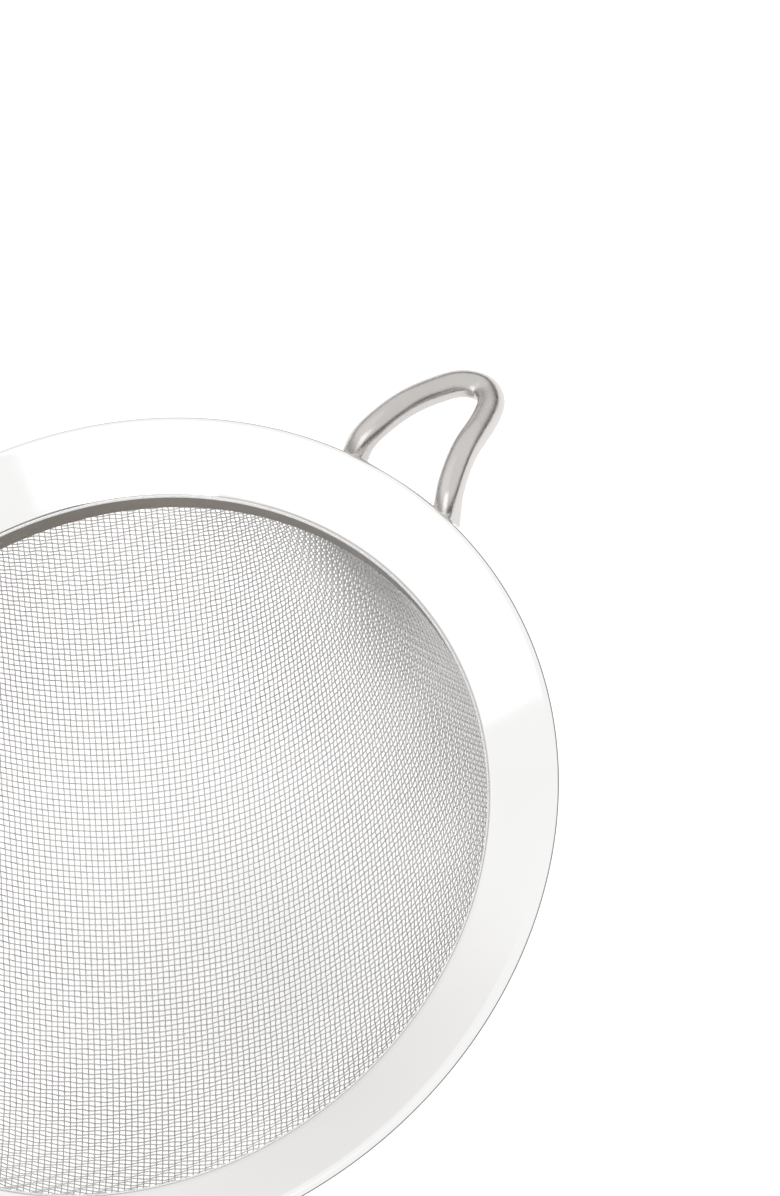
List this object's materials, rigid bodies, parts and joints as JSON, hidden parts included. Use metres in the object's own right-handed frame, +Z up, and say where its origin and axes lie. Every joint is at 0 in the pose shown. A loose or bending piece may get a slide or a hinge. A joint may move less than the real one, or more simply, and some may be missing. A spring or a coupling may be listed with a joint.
{
  "type": "tea strainer",
  "caption": "Round stainless tea strainer: wide dished rim, fine woven wire bowl, wire rest loop and a slim tapered tube handle with a hanging hole.",
  "frame": {"origin": "centre of the rim, in the plane of its highest edge", "axes": "+Z up out of the bowl along its axis, +X towards the rest loop, the handle towards -X, +Y to the left seen from above with +X ahead"},
  "size_m": [0.246, 0.096, 0.06],
  "materials": {
    "polished_rim": "mirror-polished stainless steel",
    "under_sheet": "plain rolled stainless sheet",
    "woven_wire": "bright drawn wire, 2/2 twill weave",
    "satin_wire": "satin-polished round wire",
    "handle_steel": "satin stainless steel, brushed along the handle"
  },
  "bodies": {
    "root": {"rim_top": "polished_rim", "rim_under_ring": "under_sheet", "mesh_bowl": "woven_wire", "rest_loop": "satin_wire", "handle_fork": "satin_wire", "ferrule": "handle_steel", "handle_tube": "handle_steel", "end_plug": "handle_steel"}
  },
  "joints": []
}
